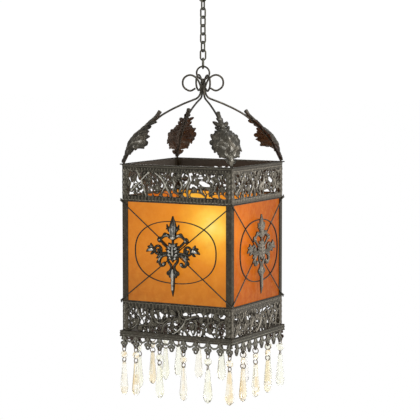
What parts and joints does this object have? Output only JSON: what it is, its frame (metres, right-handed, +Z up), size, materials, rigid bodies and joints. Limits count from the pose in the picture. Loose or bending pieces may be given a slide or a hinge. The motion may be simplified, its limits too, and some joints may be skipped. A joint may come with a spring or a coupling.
{
  "type": "hanging lantern",
  "caption": "Rectangular hanging candle lantern with amber glass, pierced metal bands, four leafed arm wires, a chain and faceted drops along its lower fringe.",
  "frame": {"origin": "hanging point, the inside of the S-hook's upper bight where it rests on its nail or hook", "axes": "+Z up along the chain, +X along the wider side of the body, -Y out of a wide face"},
  "size_m": [0.1666, 0.1516, 0.5152],
  "materials": {
    "cast_metal": "antiqued cast metal, dark in the recesses and silver-grey where worn",
    "leaf_metal": "antiqued cast leaf, grey outside and red-brown inside",
    "wire_metal": "dark oxidised drawn wire",
    "chain_metal": "dull oxidised wire links",
    "tray_metal": "dark brown sheet metal",
    "amber_glass": "hammered amber glass, faintly mottled",
    "crystal": "faceted pale champagne glass",
    "wax": "smooth cream wax",
    "wick": "charred cotton"
  },
  "bodies": {
    "hook": {"s_hook": "chain_metal"},
    "chain_link_1": {"chain_link_1": "chain_metal"},
    "chain_link_2": {"chain_link_2": "chain_metal"},
    "chain_link_3": {"chain_link_3": "chain_metal"},
    "chain_link_4": {"chain_link_4": "chain_metal"},
    "chain_link_5": {"chain_link_5": "chain_metal"},
    "chain_link_6": {"chain_link_6": "chain_metal"},
    "chain_link_7": {"chain_link_7": "chain_metal"},
    "chain_link_8": {"chain_link_8": "chain_metal"},
    "candle": {"candle": "wax", "wick": "wick"},
    "lantern": {"arm_wire_back_left": "wire_metal", "arm_wire_back_right": "wire_metal", "arm_wire_front_left": "wire_metal", "arm_wire_front_right": "wire_metal", "base_tray": "tray_metal", "candle_pan": "tray_metal", "corner_posts": "cast_metal", "cross_wires": "wire_metal", "glass_panel_back": "amber_glass", "glass_panel_front": "amber_glass", "glass_panel_left": "amber_glass", "glass_panel_right": "amber_glass", "leaf_back_left": "leaf_metal", "leaf_back_right": "leaf_metal", "leaf_front_left": "leaf_metal", "leaf_front_right": "leaf_metal", "lower_band_back": "cast_metal", "lower_band_front": "cast_metal", "lower_band_left": "cast_metal", "lower_band_right": "cast_metal", "medallions": "cast_metal", "oval_wires": "wire_metal", "rim_rods": "wire_metal", "scalloped_fringe": "cast_metal", "top_ring": "wire_metal", "upper_band_back": "cast_metal", "upper_band_front": "cast_metal", "upper_band_left": "cast_metal", "upper_band_right": "cast_metal"},
    "crystal_pendant_01": {"crystal_pendant_01": "crystal"},
    "crystal_pendant_02": {"crystal_pendant_02": "crystal"},
    "crystal_pendant_03": {"crystal_pendant_03": "crystal"},
    "crystal_pendant_04": {"crystal_pendant_04": "crystal"},
    "crystal_pendant_05": {"crystal_pendant_05": "crystal"},
    "crystal_pendant_06": {"crystal_pendant_06": "crystal"},
    "crystal_pendant_07": {"crystal_pendant_07": "crystal"},
    "crystal_pendant_08": {"crystal_pendant_08": "crystal"},
    "crystal_pendant_09": {"crystal_pendant_09": "crystal"},
    "crystal_pendant_10": {"crystal_pendant_10": "crystal"},
    "crystal_pendant_11": {"crystal_pendant_11": "crystal"},
    "crystal_pendant_12": {"crystal_pendant_12": "crystal"},
    "crystal_pendant_13": {"crystal_pendant_13": "crystal"},
    "crystal_pendant_14": {"crystal_pendant_14": "crystal"},
    "crystal_pendant_15": {"crystal_pendant_15": "crystal"},
    "crystal_pendant_16": {"crystal_pendant_16": "crystal"},
    "crystal_pendant_17": {"crystal_pendant_17": "crystal"},
    "crystal_pendant_18": {"crystal_pendant_18": "crystal"}
  },
  "joints": [
    {"name": "chain_link_1_swing", "type": "hinge", "parent": "hook", "child": "chain_link_1", "pos_m": [0, 0, -0.033], "axis": [1, 0, 0], "range_deg": [-15, 15]},
    {"name": "chain_link_2_swing", "type": "hinge", "parent": "chain_link_1", "child": "chain_link_2", "pos_m": [0, 0, -0.0432], "axis": [0, 1, 0], "range_deg": [-15, 15]},
    {"name": "chain_link_3_swing", "type": "hinge", "parent": "chain_link_2", "child": "chain_link_3", "pos_m": [0, 0, -0.0534], "axis": [0.9962, -0.0872, 0], "range_deg": [-15, 15]},
    {"name": "chain_link_4_swing", "type": "hinge", "parent": "chain_link_3", "child": "chain_link_4", "pos_m": [0, 0, -0.0636], "axis": [0.4003, 0.9164, 0], "range_deg": [-15, 15]},
    {"name": "chain_link_5_swing", "type": "hinge", "parent": "chain_link_4", "child": "chain_link_5", "pos_m": [0, 0, -0.0738], "axis": [0.972, -0.2351, 0], "range_deg": [-15, 15]},
    {"name": "chain_link_6_swing", "type": "hinge", "parent": "chain_link_5", "child": "chain_link_6", "pos_m": [0, 0, -0.084], "axis": [0.524, 0.8517, 0], "range_deg": [-15, 15]},
    {"name": "chain_link_7_swing", "type": "hinge", "parent": "chain_link_6", "child": "chain_link_7", "pos_m": [0, 0, -0.0942], "axis": [0.8942, -0.4478, 0], "range_deg": [-15, 15]},
    {"name": "chain_link_8_swing", "type": "hinge", "parent": "chain_link_7", "child": "chain_link_8", "pos_m": [0, 0, -0.1044], "axis": [0.7266, 0.6871, 0], "range_deg": [-15, 15]},
    {"name": "lantern_swing", "type": "hinge", "parent": "chain_link_8", "child": "lantern", "pos_m": [0, 0, -0.1146], "axis": [-0.342, 0.9397, 0], "range_deg": [-15, 15]},
    {"name": "candle_lift", "type": "slide", "parent": "lantern", "child": "candle", "axis": [0, 0, 1], "range_m": [0, 0.06]},
    {"name": "crystal_pendant_01_swing", "type": "hinge", "parent": "lantern", "child": "crystal_pendant_01", "pos_m": [-0.072, -0.0695, -0.4518], "axis": [-1, 0, 0], "range_deg": [-15, 15]},
    {"name": "crystal_pendant_02_swing", "type": "hinge", "parent": "lantern", "child": "crystal_pendant_02", "pos_m": [-0.05538, -0.0695, -0.4518], "axis": [-1, 0, 0], "range_deg": [-15, 15]},
    {"name": "crystal_pendant_03_swing", "type": "hinge", "parent": "lantern", "child": "crystal_pendant_03", "pos_m": [-0.02214, -0.0695, -0.4518], "axis": [-1, 0, 0], "range_deg": [-15, 15]},
    {"name": "crystal_pendant_04_swing", "type": "hinge", "parent": "lantern", "child": "crystal_pendant_04", "pos_m": [0.0111, -0.0695, -0.4518], "axis": [-1, 0, 0], "range_deg": [-15, 15]},
    {"name": "crystal_pendant_05_swing", "type": "hinge", "parent": "lantern", "child": "crystal_pendant_05", "pos_m": [0.04434, -0.0695, -0.4518], "axis": [-1, 0, 0], "range_deg": [-15, 15]},
    {"name": "crystal_pendant_06_swing", "type": "hinge", "parent": "lantern", "child": "crystal_pendant_06", "pos_m": [0.0738, -0.0695, -0.4518], "axis": [-1, 0, 0], "range_deg": [-15, 15]},
    {"name": "crystal_pendant_07_swing", "type": "hinge", "parent": "lantern", "child": "crystal_pendant_07", "pos_m": [0.072, 0.0695, -0.4518], "axis": [1, 0, 0], "range_deg": [-15, 15]},
    {"name": "crystal_pendant_08_swing", "type": "hinge", "parent": "lantern", "child": "crystal_pendant_08", "pos_m": [0.05538, 0.0695, -0.4518], "axis": [1, 0, 0], "range_deg": [-15, 15]},
    {"name": "crystal_pendant_09_swing", "type": "hinge", "parent": "lantern", "child": "crystal_pendant_09", "pos_m": [0.02214, 0.0695, -0.4518], "axis": [1, 0, 0], "range_deg": [-15, 15]},
    {"name": "crystal_pendant_10_swing", "type": "hinge", "parent": "lantern", "child": "crystal_pendant_10", "pos_m": [-0.0111, 0.0695, -0.4518], "axis": [1, 0, 0], "range_deg": [-15, 15]},
    {"name": "crystal_pendant_11_swing", "type": "hinge", "parent": "lantern", "child": "crystal_pendant_11", "pos_m": [-0.04434, 0.0695, -0.4518], "axis": [1, 0, 0], "range_deg": [-15, 15]},
    {"name": "crystal_pendant_12_swing", "type": "hinge", "parent": "lantern", "child": "crystal_pendant_12", "pos_m": [-0.0738, 0.0695, -0.4518], "axis": [1, 0, 0], "range_deg": [-15, 15]},
    {"name": "crystal_pendant_13_swing", "type": "hinge", "parent": "lantern", "child": "crystal_pendant_13", "pos_m": [0.077, -0.04125, -0.4518], "axis": [0, -1, 0], "range_deg": [-15, 15]},
    {"name": "crystal_pendant_14_swing", "type": "hinge", "parent": "lantern", "child": "crystal_pendant_14", "pos_m": [0.077, -0.00825, -0.4518], "axis": [0, -1, 0], "range_deg": [-15, 15]},
    {"name": "crystal_pendant_15_swing", "type": "hinge", "parent": "lantern", "child": "crystal_pendant_15", "pos_m": [0.077, 0.02475, -0.4518], "axis": [0, -1, 0], "range_deg": [-15, 15]},
    {"name": "crystal_pendant_16_swing", "type": "hinge", "parent": "lantern", "child": "crystal_pendant_16", "pos_m": [-0.077, 0.04125, -0.4518], "axis": [0, 1, 0], "range_deg": [-15, 15]},
    {"name": "crystal_pendant_17_swing", "type": "hinge", "parent": "lantern", "child": "crystal_pendant_17", "pos_m": [-0.077, 0.00825, -0.4518], "axis": [0, 1, 0], "range_deg": [-15, 15]},
    {"name": "crystal_pendant_18_swing", "type": "hinge", "parent": "lantern", "child": "crystal_pendant_18", "pos_m": [-0.077, -0.02475, -0.4518], "axis": [0, 1, 0], "range_deg": [-15, 15]}
  ]
}
